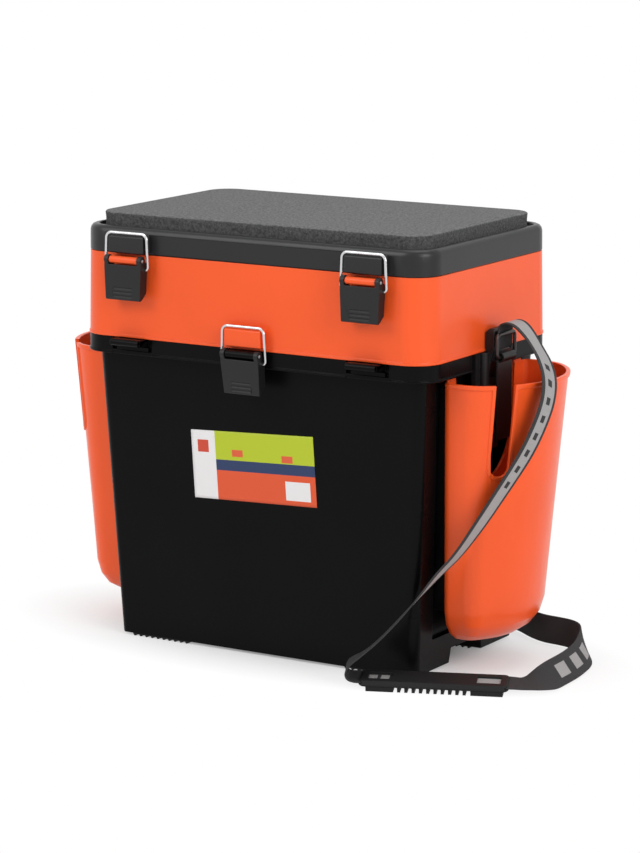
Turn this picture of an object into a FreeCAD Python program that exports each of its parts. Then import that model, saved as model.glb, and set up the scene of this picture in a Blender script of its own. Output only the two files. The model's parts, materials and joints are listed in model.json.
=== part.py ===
import FreeCAD, Part
import math
import os
from FreeCAD import Vector as V

os.makedirs("parts", exist_ok=True)

# Fishing seat box. Millimetres, +Z up, +X right, front (latches) at -Y.
# The origin is at the middle of the box on the ground.

# lower bin
GRIP = 2.5                      # grip ridges stand below the runners
RUN_H = 14.0                    # runner height under the bin floor
BIN_BOT = (165.6, 93.9, 7.5)    # half width, half depth, corner radius
BIN_TOP = (179.5, 108.5, 11.0)
RIM_Z0, RIM_Z1 = 283.0, 299.2
RIM = (191.1, 122.1, 28.0)
WALL = 3.0
# upper section
SEC_Z0, SEC_Z1 = 299.4, 379.4
SEC_BOT = (191.3, 122.3, 28.5)
SEC_TOP = (190.0, 121.0, 27.5)
SEC_FLOOR_Z = 303.0
# lid and seat pad
LID_Z0, LID_Z1, BED_Z = 379.6, 404.3, 400.5
PAD_HALF = (179.0, 109.5, 24.0)
PAD_T = 15.2
# rear hinges
HINGE_Y, HINGE_X, HINGE_R = 128.0, 105.0, 4.0
PIN_R = 1.5
LID_HINGE_Z, SEC_HINGE_Z = 379.5, 299.3
# draw latches, measured from the lever's pivot
LATCH_X, LATCH_Y = 129.5, -133.3
LID_LATCH_Z, SEC_LATCH_Z = 375.0, 296.3
LEVER_HALF, LEVER_LEN, KNUCKLE_HALF = 20.6, 38.0, 15.8
LEVER_FRONT, LEVER_BACK = -3.7, 7.8
BAIL_FOOT, BAIL_HEAD, BAIL_H, WIRE_R = 24.0, 22.6, 33.5, 1.4
BAIL_PIVOT = (4.0, -8.5)
CENTRE_LEAN, CENTRE_BAIL_LEAN = 8.0, 2.0
KEEPER_HALF, KEEPER_FRONT, KEEPER_H = 19.4, -131.0, 16.8
# hanging pockets: half length, depth, corner radius and corner centre, at lip and foot
POC_Z0, POC_Z1 = 28.5, 278.5
POC_TOP = (78.4, 77.7, 35.0, 23.1)
POC_BOT = (65.8, 57.3, 20.0, 22.8)
POC_X_TOP, POC_X_BOT = 182.5, 176.5
POC_T, POC_ROUND, POC_BACK_R = 2.6, 33.0, 8.0
WINDOW_HALF, WINDOW_Z = 56.0, 228.0
# strap lugs and rings
LUG_X = 185.4
RING_X, RING_Z0, RING_Z1, RING_HALF, RING_T = 206.0, 294.5, 316.0, 17.0, 3.4
# shoulder strap and its pad
STRAP_R = 3.65
SPAD_A, SPAD_DIR, SPAD_L, SPAD_W, SPAD_TILT = (133.0, -139.0), 22.0, 138.0, 32.0, 9.0


def box(x0, x1, y0, y1, z0, z1):
    return Part.makeBox(x1 - x0, y1 - y0, z1 - z0, V(x0, y0, z0))


def rr_wire(hx, hy, r, z):
    """Rounded rectangle about the Z axis."""
    k = r * math.sqrt(0.5)
    edges = []
    for sx, sy in ((1, 1), (-1, 1), (-1, -1), (1, -1)):
        c = V(sx * (hx - r), sy * (hy - r), z)
        a, b = V(sx * r, 0, 0), V(0, sy * r, 0)
        m = V(sx * k, sy * k, 0)
        start, end = (c + a, c + b) if sx * sy > 0 else (c + b, c + a)
        edges.append(Part.Arc(start, c + m, end).toShape())
    corners = [(e.Vertexes[0].Point, e.Vertexes[-1].Point) for e in edges]
    out = []
    for i, e in enumerate(edges):
        out.append(e)
        out.append(Part.makeLine(corners[i][1], corners[(i + 1) % 4][0]))
    return Part.Wire(out)


def tapered(*sections):
    """Ruled loft through (half width, half depth, radius, z) sections."""
    return Part.makeLoft([rr_wire(*s) for s in sections], True, True)


def prism_x(points, x0, x1):
    """Profile of (y, z) points pushed along X."""
    pts = [V(x0, y, z) for y, z in points]
    return Part.Face(Part.makePolygon(pts + pts[:1])).extrude(V(x1 - x0, 0, 0))


def prism_y(points, y0, y1):
    """Profile of (x, z) points pushed along Y."""
    pts = [V(x, y0, z) for x, z in points]
    return Part.Face(Part.makePolygon(pts + pts[:1])).extrude(V(0, y1 - y0, 0))


def rod_x(x0, x1, y, z, r):
    return Part.makeCylinder(r, x1 - x0, V(x0, y, z), V(1, 0, 0))


def lerp(a, b, t):
    return a + (b - a) * t


def bin_half(z, inset=0.0):
    """Bin section (half width, half depth, radius, z) at a height."""
    t = (z - GRIP) / (RIM_Z0 - GRIP)
    hx, hy, r = (lerp(a, b, t) for a, b in zip(BIN_BOT, BIN_TOP))
    return hx - inset, hy - inset, r - inset, z


def save(name, shape):
    shape = shape.removeSplitter()
    shape.exportStep("parts/%s.step" % name)
    print("%-20s solids %d  volume %9.1f  valid %s"
          % (name, len(shape.Solids), shape.Volume, shape.isValid()))
    return shape


# Hinges: the lower body carries a middle knuckle, the upper one two outer knuckles.
def hinge_knuckles(z, wall_y, upper):
    parts = []
    for sx in (-1, 1):
        c = sx * HINGE_X
        spans = [(c - 28, c - 15.4), (c + 15.4, c + 28)] if upper else [(c - 15, c + 15)]
        s = 1 if upper else -1
        for x0, x1 in spans:
            arm = prism_x([(wall_y, z + s * 0.3), (HINGE_Y, z + s * 0.3),
                           (HINGE_Y + 2.8, z + s * 2.8), (HINGE_Y - 1, z + s * 5.5),
                           (wall_y, z + s * 13)], x0, x1)
            parts.append(arm.fuse(rod_x(x0, x1, HINGE_Y, z, HINGE_R)))
    return parts


def hinge_bores(z, upper):
    r = PIN_R + 0.05 if upper else PIN_R
    return [rod_x(sx * HINGE_X - 30, sx * HINGE_X + 30, HINGE_Y, z, r) for sx in (-1, 1)]


def hinge_pins(z):
    pins = []
    for sx in (-1, 1):
        x = sx * HINGE_X
        pin = rod_x(x - 28.5, x + 28.5, HINGE_Y, z, PIN_R)
        for end in (x - 29.5, x + 28.5):
            pin = pin.fuse(rod_x(end, end + 1, HINGE_Y, z, 2.4))
        pins.append(pin)
    return Part.makeCompound(pins)


# Latch knuckle: a barrel on an arm that stands out of a wall.
def latch_knuckle(x, wall_y, z):
    arm = prism_x([(wall_y, z + 2.3), (LATCH_Y + 1, z + 3.0), (LATCH_Y - 1, z - 2.8),
                   (LATCH_Y + 1.5, z - 3.4), (wall_y, z - 5.0)],
                  x - KNUCKLE_HALF, x + KNUCKLE_HALF)
    return arm.fuse(rod_x(x - KNUCKLE_HALF, x + KNUCKLE_HALF, LATCH_Y, z, 3.4))


def keeper(x, z, wall_y):
    """Boss that a bail closes over: flat front, eased top edge under the bail's bar."""
    f, h = KEEPER_FRONT, KEEPER_H
    return prism_x([(wall_y, z), (f + 0.8, z), (f, z + 0.8), (f, z + h - 2.2), (f + 0.7, z + h - 0.7),
                    (f + 2.2, z + h), (wall_y, z + h)], x - KEEPER_HALF, x + KEEPER_HALF)


def make_lower_bin():
    outer = tapered(bin_half(GRIP), bin_half(RIM_Z0 + 1))
    floor = GRIP + RUN_H + WALL
    # the tunnel between the runners, with sloping sides, and the hollows under them
    tunnel = [(-31, GRIP), (31, GRIP), (28, GRIP + RUN_H), (-28, GRIP + RUN_H)]
    outer = outer.cut(prism_x([(y, z - 0.001 if z == GRIP else z) for y, z in tunnel], -200, 200))
    # side panels sunk between the corner posts, above the foot blocks
    for s in (1, -1):
        panel = []
        for z, hy in ((33.0, 66.0), (RIM_Z0 - 4, 82.0)):
            x = bin_half(z)[0]
            panel.append(Part.makePolygon([V(s * (x - 4), -hy + 4, z), V(s * (x + 3), -hy - 3, z),
                                           V(s * (x + 3), hy + 3, z), V(s * (x - 4), hy - 4, z),
                                           V(s * (x - 4), -hy + 4, z)]))
        outer = outer.cut(Part.makeLoft(panel, True, True))
    rim = tapered((*RIM, RIM_Z0), (*RIM, RIM_Z1))
    bead = tapered((RIM[0] + 0.8, RIM[1] + 0.8, RIM[2] + 0.8, RIM_Z0),
                   (RIM[0] + 0.8, RIM[1] + 0.8, RIM[2] + 0.8, RIM_Z0 + 2.2))
    body = outer.fuse([rim, bead])
    # cavity: tapered, with inner bumps left where the side panels are sunk
    cavity = tapered(bin_half(floor, WALL), bin_half(RIM_Z0 + 4, WALL))
    for s in (1, -1):
        bump = []
        for z, hy in ((30.0, 70.0), (RIM_Z0 + 1, 86.0)):
            x = bin_half(z)[0]
            bump.append(Part.makePolygon([V(s * (x - 7), -hy + 4, z), V(s * (x + 3), -hy - 4, z),
                                          V(s * (x + 3), hy + 4, z), V(s * (x - 7), hy - 4, z),
                                          V(s * (x - 7), -hy + 4, z)]))
        cavity = cavity.cut(Part.makeLoft(bump, True, True))
    mouth = tapered((RIM[0] - WALL, RIM[1] - WALL, RIM[2] - WALL, RIM_Z0 + WALL),
                    (RIM[0] - WALL, RIM[1] - WALL, RIM[2] - WALL, RIM_Z1 + 1))
    body = body.cut([cavity, mouth])
    # gaps of the rim for the strap lugs, backed by an inner wall
    for s in (1, -1):
        body = body.fuse(box(*sorted((s * (LUG_X - WALL), s * (RIM[0] - 1))), -41, 41,
                             RIM_Z0, RIM_Z1))
        gap = [V(s * LUG_X, -34, RIM_Z0 - 1), V(s * (RIM[0] + 2), -38, RIM_Z0 - 1),
               V(s * (RIM[0] + 2), 38, RIM_Z0 - 1), V(s * LUG_X, 34, RIM_Z0 - 1)]
        body = body.cut(Part.Face(Part.makePolygon(gap + gap[:1])).extrude(V(0, 0, 20)))
    # latch mounts: a recess of the rim with a knuckle in it
    for x in (-LATCH_X, 0.0, LATCH_X):
        body = body.fuse(box(x - 26, x + 26, -RIM[1] + 1, -RIM[1] + 7.6, RIM_Z0, RIM_Z1))
        body = body.cut(box(x - 22.5, x + 22.5, -RIM[1] - 3, -RIM[1] + 4.6, RIM_Z0 + 4.2, RIM_Z1 + 1))
        body = body.cut(box(x - 22.5, x + 22.5, -RIM[1] - 3, -RIM[1], RIM_Z0 - 1, RIM_Z1 + 1))
        body = body.fuse(latch_knuckle(x, -RIM[1] + 5.0, SEC_LATCH_Z))
        body = body.fuse(box(x - 18, x + 18, -RIM[1] + 0.4, -RIM[1] + 5.0, RIM_Z0 + 4, RIM_Z0 + 8))
        body = body.cut(rod_x(x - 40, x + 40, LATCH_Y, SEC_LATCH_Z, PIN_R))
    body = body.fuse(hinge_knuckles(SEC_HINGE_Z, RIM[1] - 2, False))
    body = body.cut(hinge_bores(SEC_HINGE_Z, False))
    # hollows under the runners, with one cross rib each
    for s in (1, -1):
        for x0, x1 in ((-80, -3), (3, 80)):
            y0, y1 = sorted((s * 36, s * 86))
            body = body.cut(box(x0, x1, y0, y1, GRIP - 1, GRIP + RUN_H - 1))
    # screw holes of pockets and lugs
    return body.cut(screw_shanks())


def make_grip_pads():
    """Four ribbed pads under the runner ends: ten ridges across each."""
    pads = []
    for sx in (-1, 1):
        for sy in (-1, 1):
            y0, y1 = sorted((sy * 34, sy * 93))
            x0 = 88.0 if sx > 0 else -152.0
            base = box(x0, x0 + 64, y0, y1, GRIP - 1.0, GRIP)
            for i in range(10):
                x = x0 + 0.5 + i * 6.7
                ridge = Part.Face(Part.makePolygon([V(x, y0, GRIP - 1), V(x + 0.9, y0, 0),
                                                    V(x + 2.1, y0, 0), V(x + 3, y0, GRIP - 1),
                                                    V(x, y0, GRIP - 1)]))
                base = base.fuse(ridge.extrude(V(0, y1 - y0, 0)))
            pads.append(base.removeSplitter())
    return Part.makeCompound(pads)


def make_upper_section():
    outer = tapered((*SEC_BOT, SEC_Z0), (*SEC_TOP, SEC_Z1))
    bead = tapered((SEC_BOT[0] + 0.8, SEC_BOT[1] + 0.8, SEC_BOT[2] + 0.8, SEC_Z0),
                   (SEC_BOT[0] + 0.8, SEC_BOT[1] + 0.8, SEC_BOT[2] + 0.8, SEC_Z0 + 2.6))
    body = outer.fuse(bead)
    inner = [tuple(v - WALL for v in s) for s in (SEC_BOT, SEC_TOP)]
    body = body.cut([tapered((*inner[0], SEC_FLOOR_Z + WALL), (*inner[1], SEC_Z1 + 0.5)),
                     tapered((*inner[0], SEC_Z0 - 1), (*inner[0], SEC_FLOOR_Z))])
    # locating lip under the floor, which drops into the bin's mouth
    lip = tapered((177.5, 106.5, 21.0, 288.0), (177.5, 106.5, 21.0, SEC_FLOOR_Z + 1))
    lip = lip.cut(tapered((175.3, 104.3, 18.8, 287.0), (175.3, 104.3, 18.8, SEC_FLOOR_Z)))
    body = body.fuse(lip)
    for x in (-LATCH_X, LATCH_X):
        body = body.fuse(latch_knuckle(x, -119.5, LID_LATCH_Z))
        body = body.cut(rod_x(x - 40, x + 40, LATCH_Y, LID_LATCH_Z, PIN_R))
    body = body.fuse(keeper(0.0, 303.0, -121.0))
    body = body.fuse(hinge_knuckles(LID_HINGE_Z, SEC_TOP[1] - 2, False))
    body = body.fuse(hinge_knuckles(SEC_HINGE_Z, SEC_BOT[1] - 2, True))
    body = body.cut(hinge_bores(LID_HINGE_Z, False))
    return body.cut(hinge_bores(SEC_HINGE_Z, True))


def make_lid():
    body = tapered((190.2, 121.2, 28.0, LID_Z0), (190.0, 121.0, 27.8, LID_Z1 - 6),
                   (189.2, 120.2, 27.0, LID_Z1 - 3), (187.4, 118.4, 25.2, LID_Z1 - 0.9),
                   (185.2, 116.2, 23.0, LID_Z1))
    bed = tapered((182.4, 113.4, 23.4, BED_Z), (182.9, 113.9, 23.9, LID_Z1 + 1))
    hollow = tapered((187.2, 118.2, 25.0, LID_Z0 - 1), (186.0, 117.0, 24.0, BED_Z - WALL))
    body = body.cut([bed, hollow])
    lip = tapered((185.5, 116.5, 24.0, 374.0), (185.5, 116.5, 24.0, LID_Z0 + 4))
    lip = lip.cut(tapered((183.5, 114.5, 22.0, 373.0), (183.5, 114.5, 22.0, LID_Z0 + 5)))
    shelf = tapered((187.6, 118.6, 26.0, LID_Z0 + 1.5), (187.6, 118.6, 26.0, LID_Z0 + 4))
    shelf = shelf.cut(tapered((183.5, 114.5, 22.0, LID_Z0), (183.5, 114.5, 22.0, LID_Z0 + 5)))
    body = body.fuse([lip, shelf])
    # stiffening ribs under the bed
    for x in (-110.0, -37.0, 37.0, 110.0):
        body = body.fuse(box(x - 1.2, x + 1.2, -117.2, 117.2, BED_Z - 9, BED_Z - 2))
    for x in (-LATCH_X, LATCH_X):
        body = body.fuse(keeper(x, 381.0, -119.8))
    body = body.fuse(hinge_knuckles(LID_HINGE_Z, 119.0, True))
    return body.cut(hinge_bores(LID_HINGE_Z, True))


def make_seat_pad():
    """Closed-cell foam slab: slightly drawn-in sides and a low crown."""
    hx, hy, r = PAD_HALF
    rings = ((0.5, 0.0), (0.0, 2.0), (0.6, PAD_T * 0.5), (0.3, PAD_T - 1.2), (1.4, PAD_T - 0.2),
             (7.0, PAD_T + 0.3), (40.0, PAD_T + 1.2), (85.0, PAD_T + 1.5))
    return tapered(*[(hx - d, hy - d, max(r - d, 14.0), BED_Z + up) for d, up in rings])


def turn(shape, y, z, degrees):
    """Swings a shape about an X axis: positive moves its low end out (-Y)."""
    shape.rotate(V(0, y, z), V(-1, 0, 0), degrees)
    return shape


def make_lever(x, z, lean):
    """Lever: two deep ears beside the knuckle, a hollow-backed plate and a turned-in toe."""
    n, f, b = LEVER_LEN, LEVER_FRONT, LEVER_BACK
    prof = [(f, 0.0), (f, -n + 1.2), (f + 0.6, -n + 0.3), (f + 1.9, -n), (1.4, -n + 1.6),
            (b - 0.4, -n + 7.0), (b, -7.0), (6.0, -1.5), (0.0, 0.0)]
    pts = [(LATCH_Y + y, z + up) for y, up in prof]
    body = prism_x(pts, x - LEVER_HALF, x + LEVER_HALF)
    body = body.fuse(rod_x(x - LEVER_HALF, x + LEVER_HALF, LATCH_Y, z, 4.5))
    k, back, skin = KNUCKLE_HALF + 0.4, LATCH_Y + b + 1, LATCH_Y + f + 2.4
    body = body.cut([box(x - k, x + k, LATCH_Y - 6, back, z - 4.3, z + 6),
                     box(x - k, x + k, skin, back, z - 13, z - 4),
                     box(x - k - 1.2, x + k + 1.2, skin, back, z - n + 4, z - 12),
                     rod_x(x - 30, x + 30, LATCH_Y, z, PIN_R + 0.06),
                     rod_x(x - 30, x + 30, LATCH_Y + BAIL_PIVOT[0], z + BAIL_PIVOT[1], WIRE_R + 0.06)])
    for dz in (-26.5, -30.3, -34.1):
        groove = rod_x(x - 10, x + 10, LATCH_Y + f - 0.4, z + dz, 1.0)
        for s in (-1, 1):
            groove = groove.fuse(Part.makeSphere(1.0, V(x + s * 10, LATCH_Y + f - 0.4, z + dz)))
        body = body.cut(groove)
    # both sides draw in towards the toe
    for s in (-1, 1):
        w = x + s * LEVER_HALF
        body = body.cut(prism_y([(w, z - 9), (w + s, z - 9), (w + s, z - n - 1), (w - s * 1.3, z - n - 1)],
                                LATCH_Y - 8, LATCH_Y + 12))
    return turn(body, LATCH_Y, z, -lean)


def wire_path(points, radii):
    """Straight runs joined by tangent arcs."""
    edges, last = [], points[0]
    for p, c, q, r in zip(points, points[1:], points[2:], radii):
        u, w = (p - c).normalize(), (q - c).normalize()
        half = math.acos(max(-1, min(1, u.dot(w)))) / 2
        t = r / math.tan(half)
        a, b = c + u * t, c + w * t
        m = c + (u + w).normalize() * (r / math.sin(half) - r)
        edges += [Part.LineSegment(last, a).toShape(), Part.Arc(a, m, b).toShape()]
        last = b
    edges.append(Part.LineSegment(last, points[-1]).toShape())
    return Part.Wire(edges)


def pipe(path, radius, start, direction):
    ring = Part.Wire(Part.makeCircle(radius, start, direction))
    return path.makePipeShell([ring], True, False)


def make_bail(x, z, lever_lean, bail_lean):
    """Wire bail: two toes in the lever's ears, two legs, a round-cornered top bar."""
    a = math.radians(-lever_lean)
    by, bz = BAIL_PIVOT
    qy = LATCH_Y + by * math.cos(a) + bz * math.sin(a)
    qz = z - by * math.sin(a) + bz * math.cos(a)
    h, w, s = BAIL_FOOT, BAIL_HEAD, 17.4
    pts = [V(x - s, qy, qz), V(x - h, qy, qz), V(x - w, qy, qz + BAIL_H),
           V(x + w, qy, qz + BAIL_H), V(x + h, qy, qz), V(x + s, qy, qz)]
    bail = pipe(wire_path(pts, (3.0, 6.0, 6.0, 3.0)), WIRE_R, pts[0], V(-1, 0, 0))
    return turn(bail, qy, qz, -bail_lean)


def make_latch_pin(x, z):
    pin = rod_x(x - LEVER_HALF - 0.8, x + LEVER_HALF + 0.8, LATCH_Y, z, PIN_R)
    return pin.makeChamfer(0.3, [e for e in pin.Edges if len(e.Vertexes) == 1])


# Pocket plan: flat back, rounded back corners, two corner arcs and a flatter front arc.
def pocket_wire(x, a, p, rc, s, z, rb):
    pp, d = p - rc, a - rc
    c = (pp * pp - s * s - d * d) / (2 * (pp - s))
    centre = V(x + c, 0, z)
    h = rb * math.sqrt(0.5)
    pts = []
    for sy in (-1, 1):
        k = V(x + s, sy * d, z)
        u = (k - centre).normalize()
        mid_dir = (u + V(0, sy, 0)).normalize()
        pts.append((V(x, sy * (a - rb), z), V(x + rb - h, sy * (a - rb + h), z), V(x + rb, sy * a, z),
                    V(x + s, sy * a, z), k + mid_dir * rc, k + u * rc))
    lo, hi = pts
    return Part.Wire([Part.Arc(lo[0], lo[1], lo[2]).toShape(), Part.makeLine(lo[2], lo[3]),
                      Part.Arc(lo[3], lo[4], lo[5]).toShape(),
                      Part.Arc(lo[5], V(x + p, 0, z), hi[5]).toShape(),
                      Part.Arc(hi[5], hi[4], hi[3]).toShape(), Part.makeLine(hi[3], hi[2]),
                      Part.Arc(hi[2], hi[1], hi[0]).toShape(), Part.makeLine(hi[0], lo[0])])


def pocket_section(z, inset, floor):
    """Plan wire at a height, with the rounding that runs into the bottom."""
    t = (POC_Z1 - z) / (POC_Z1 - POC_Z0)
    a, p, rc, s = (lerp(u, w, t) for u, w in zip(POC_TOP, POC_BOT))
    r = POC_ROUND - inset
    up = z - floor
    k = inset + (r - math.sqrt(r * r - (r - up) ** 2) if up < r else 0.0)
    radius = max(rc - k, 8.0)
    moved = max(0.0, k - (rc - radius))
    back = max(inset, 0.0)
    x = lerp(POC_X_TOP, POC_X_BOT, t) + back
    rb = min(POC_BACK_R - inset, s - moved - back - 1.0)
    return pocket_wire(x, a - k, p - k - back, radius, s - moved - back, z, rb)


def pocket_solid(inset, floor, top):
    r = POC_ROUND - inset
    heights = [floor + r * k for k in (0.015, 0.1, 0.3, 0.6, 1.0)] + [top]
    return Part.makeLoft([pocket_section(z, inset, floor) for z in heights], True, True)


def make_pocket():
    """Right-hand pocket: tapered tub with a round bottom, rolled lip and a slot."""
    outer = pocket_solid(0.0, POC_Z0, POC_Z1)
    inner = pocket_solid(POC_T, POC_Z0 + POC_T, POC_Z1 + 1)
    proud = Part.makeLoft([pocket_section(z, -1.6, POC_Z0) for z in (150.0, POC_Z1)], True, True)
    # slot in the front shoulder, square to the surface, leaning with it, with a round foot
    n = V(0.794, -0.607, 0)
    t = V(0.607, 0.794, 0)
    mid = V(240.5, -56.5, 0)

    def slot(grow, top, reach):
        w1, w0, foot = 9.6 + grow, 9.0 + grow, 202.0

        def at(u, z):
            lean = lerp(-7.0, -3.3, (z - foot) / (POC_Z1 - foot))
            return mid + t * (u + lean) + V(0, 0, z) - n * reach
        low = at(0, foot - w0)
        edges = [Part.makeLine(at(w0, foot), at(w1, top)), Part.makeLine(at(w1, top), at(-w1, top)),
                 Part.makeLine(at(-w1, top), at(-w0, foot)),
                 Part.Arc(at(-w0, foot), low, at(w0, foot)).toShape()]
        return Part.Face(Part.Wire(edges)).extrude(n * (2 * reach))
    lip = proud.common(box(POC_X_TOP + 1, 300, -100, 100, POC_Z1 - 4, POC_Z1))
    welt = proud.common(slot(3.2, POC_Z1, 22.0)).common(box(POC_X_TOP + 12, 300, -100, 0, 150, POC_Z1))
    body = outer.fuse([lip, welt]).cut(inner)
    for sy in (-1, 1):
        # back flange: two ears above the lip
        y0, y1 = sorted((sy * WINDOW_HALF, sy * 70))
        body = body.fuse(box(POC_X_TOP, POC_X_TOP + 2.4, y0, y1, POC_Z1 - 8, POC_Z1 + 3))
        # stand-off rails that bear on the bin's sunk side panel
        rail = []
        for z, near, wide in ((60.0, 50.0, 58.0), (POC_Z1 - 6, 60.0, 69.0)):
            t1 = (POC_Z1 - z) / (POC_Z1 - POC_Z0)
            xo = lerp(POC_X_TOP, POC_X_BOT, t1) + 1.0
            xi = bin_half(z)[0] - 4
            y0, y1 = sorted((sy * near, sy * wide))
            rail.append(Part.makePolygon([V(xi, y0, z), V(xo, y0, z), V(xo, y1, z),
                                          V(xi, y1, z), V(xi, y0, z)]))
        body = body.fuse(Part.makeLoft(rail, True, True))
    # wide round-footed window for the strap lug
    w = WINDOW_HALF
    window = box(170, POC_X_TOP + 3, -w, w, WINDOW_Z, POC_Z1 + 5)
    window = window.fuse(Part.makeCylinder(w, POC_X_TOP - 167, V(170, 0, WINDOW_Z), V(1, 0, 0)).common(
        box(170, POC_X_TOP + 3, -w, w, 160, WINDOW_Z + 1)))
    return body.cut([window, slot(0.0, POC_Z1 + 8, 22.0)]).cut(screw_shanks())


def make_lug():
    """Right-hand strap lug: foot plate, two round columns, a tab, an eye and a hanging tongue."""
    inner = [(bin_half(z)[0] - 3.95, z) for z in (205.0, RIM_Z0 - 4.1)]
    core = prism_y(inner + [(bin_half(RIM_Z0)[0] + 0.2, RIM_Z0 - 4.1), (bin_half(RIM_Z0)[0] + 0.2, RIM_Z0 - 0.1),
                            (LUG_X, RIM_Z0 - 0.1), (LUG_X, RIM_Z1 - 0.4), (193.0, RIM_Z1 - 0.4),
                            (193.0, 318.0), (196.0, 321.0), (200.0, 321.0),
                            (202.0, 318.5), (201.0, 300.0), (197.0, 286.0), (190.5, 272.0),
                            (190.5, 205.0)], -15, 15)
    plate = prism_y([(LUG_X, 215.0), (LUG_X, RIM_Z1 - 0.4), (190.5, RIM_Z1 - 0.4), (190.5, 215.0)], -29, 29)
    columns = [Part.makeCylinder(5.0, 71.6, V(192.5, s * 17.0, RIM_Z1 - 72), V(0, 0, 1))
               for s in (-1, 1)]
    caps = [Part.makeSphere(5.0, V(192.5, s * 17.0, RIM_Z1 - 72)) for s in (-1, 1)]
    tongue = box(202.8, 205.2, -14, 14, 216, RING_Z0 - 3.2)
    eye = prism_y([(196, RING_Z0 - 4.8), (RING_X, RING_Z0 - 4.8), (RING_X, RING_Z0 + 4.8),
                   (200, RING_Z0 + 8)], -12, 12)
    eye = eye.fuse(Part.makeCylinder(4.8, 24, V(RING_X, -12, RING_Z0), V(0, 1, 0)))
    body = core.fuse([plate, eye, tongue] + columns + caps)
    body = body.cut(box(150, LUG_X, -40, 40, 200, 330).cut(box(150, LUG_X, -15, 15, 200, RIM_Z0 - 0.1)))
    body = body.cut(Part.makeCylinder(2.95, 60, V(RING_X, -30, RING_Z0), V(0, 1, 0)))
    body = body.removeSplitter()
    tab_edges = [e for e in body.Edges if abs(e.BoundBox.ZMax - 321) < 0.01
                 and abs(e.BoundBox.ZMin - 321) < 0.01 and e.BoundBox.YLength < 0.01]
    body = body.makeFillet(4.0, tab_edges)
    return body.cut(screw_shanks())


def make_ring():
    """Right-hand strap ring: a flat-formed rectangular loop."""
    zc, hz = (RING_Z0 + RING_Z1) / 2, (RING_Z1 - RING_Z0) / 2
    path = rr_wire(hz, RING_HALF, 4.0, 0)
    start = path.Vertexes[0].Point
    along = V(0, 1, 0) if abs(start.x) > hz - 0.01 else V(1, 0, 0)
    ring = pipe(path, RING_T / 2, start, along)
    ring.rotate(V(0, 0, 0), V(0, 1, 0), 90)
    ring.translate(V(RING_X, 0, zc))
    return ring


# Screws: the pockets hang on two each, the lugs on two each; axis along X.
def screw_sites():
    sites = []
    for y, z, x_head in ((-63.5, 244.0, 184.0), (63.5, 244.0, 184.0), (0.0, 222.0, 190.5),
                         (0.0, 250.0, 190.5)):
        sites.append((y, z, x_head))
    return sites


def pocket_head_x(z):
    return lerp(POC_X_TOP, POC_X_BOT, (POC_Z1 - z) / (POC_Z1 - POC_Z0)) + POC_T + 0.28


def screw_shanks():
    rods = []
    for y, z, x_head in screw_sites():
        rods.append(Part.makeCylinder(2.0, 24.0, V(x_head - 22, y, z), V(1, 0, 0)))
    return rods + [mirrored(r) for r in rods]


def make_screws(which):
    screws = []
    for y, z, x_head in screw_sites():
        if (which == "lug") != (y == 0.0):
            continue
        head_x = x_head if which == "lug" else pocket_head_x(z)
        screw = Part.makeCylinder(2.0, head_x - x_head + 21.5, V(x_head - 21.5, y, z), V(1, 0, 0))
        dome = Part.makeCylinder(4.2, 2.4, V(head_x, y, z), V(1, 0, 0))
        dome = dome.makeFillet(1.4, [e for e in dome.Edges
                                     if abs(e.BoundBox.XMax - head_x - 2.4) < 0.01
                                     and len(e.Vertexes) == 1])
        cross = [box(head_x + 1.2, head_x + 3, y - 1.8, y + 1.8, z - 0.4, z + 0.4),
                 box(head_x + 1.2, head_x + 3, y - 0.4, y + 0.4, z - 1.8, z + 1.8)]
        screws.append(screw.fuse(dome).cut(cross).removeSplitter())
    return Part.makeCompound(screws + [mirrored(s) for s in screws])


def mirrored(shape):
    return shape.mirror(V(0, 0, 0), V(1, 0, 0))


# Shoulder strap: webbing 28 wide by 1.5, drawn as a tube of the same section area.
STRAP_FRONT = [(206, 0, 318), (206.6, 0, 327), (213.5, 0, 333), (223, 0, 331), (231, -1, 321),
               (240, -4, 309), (253, -12, 296), (265, -24, 281), (268, -33, 262), (263, -40, 240),
               (255, -50, 215), (240, -66, 183), (225, -76, 155), (207, -89, 123),
               (193, -99, 106), (178, -110.5, 84), (164, -121, 64), (150, -130.5, 46),
               (138, -139.5, 33), (126.2, -146, 24.5), (121.3, -145.9, 16.5), (122.3, -145, 9.8),
               (127.4, -142.2, 7.6), (133.0, -139.0, 7.6)]
STRAP_REAR = [(260.95, -87.3, 7.6), (273, -82, 7.4), (283, -69, 8), (285, -46, 10.5),
              (284.5, -17, 12.5), (281, 7, 12.5), (276, 30, 12.5), (266, 53, 13.5), (254, 71, 14),
              (240, 82, 14.2), (222, 86.5, 14.2), (203, 88, 14.2), (184, 98, 14), (160, 113, 11),
              (130, 125, 7.5), (103, 130, 5.5), (40, 134, 4.5), (-30, 134, 4.5), (-95, 131, 5.5),
              (-150, 130, 20), (-190, 124, 44), (-216, 116, 88), (-234, 106, 140), (-248, 93, 190),
              (-260, 76, 236), (-262, 55, 273), (-250, 34, 302), (-236, 16, 322), (-225, 5, 331),
              (-213.5, 1, 334), (-206.6, 0, 327), (-206, 0, 318)]


def make_strap(points, name):
    pts = [V(*p) for p in points]
    radii = []
    for p, c, q in zip(pts, pts[1:], pts[2:]):
        u, w = (c - p), (q - c)
        angle = u.getAngle(w)
        radii.append(0.45 * min(u.Length, w.Length) / math.tan(angle / 2))
    path = wire_path(pts, radii)
    tube = pipe(path, STRAP_R, pts[0], pts[1] - pts[0])
    print(name, "length %.0f" % path.Length, "radii", [round(r) for r in radii],
          "volume ratio %.3f" % (tube.Volume / (path.Length * math.pi * STRAP_R ** 2)))
    return tube


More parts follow.
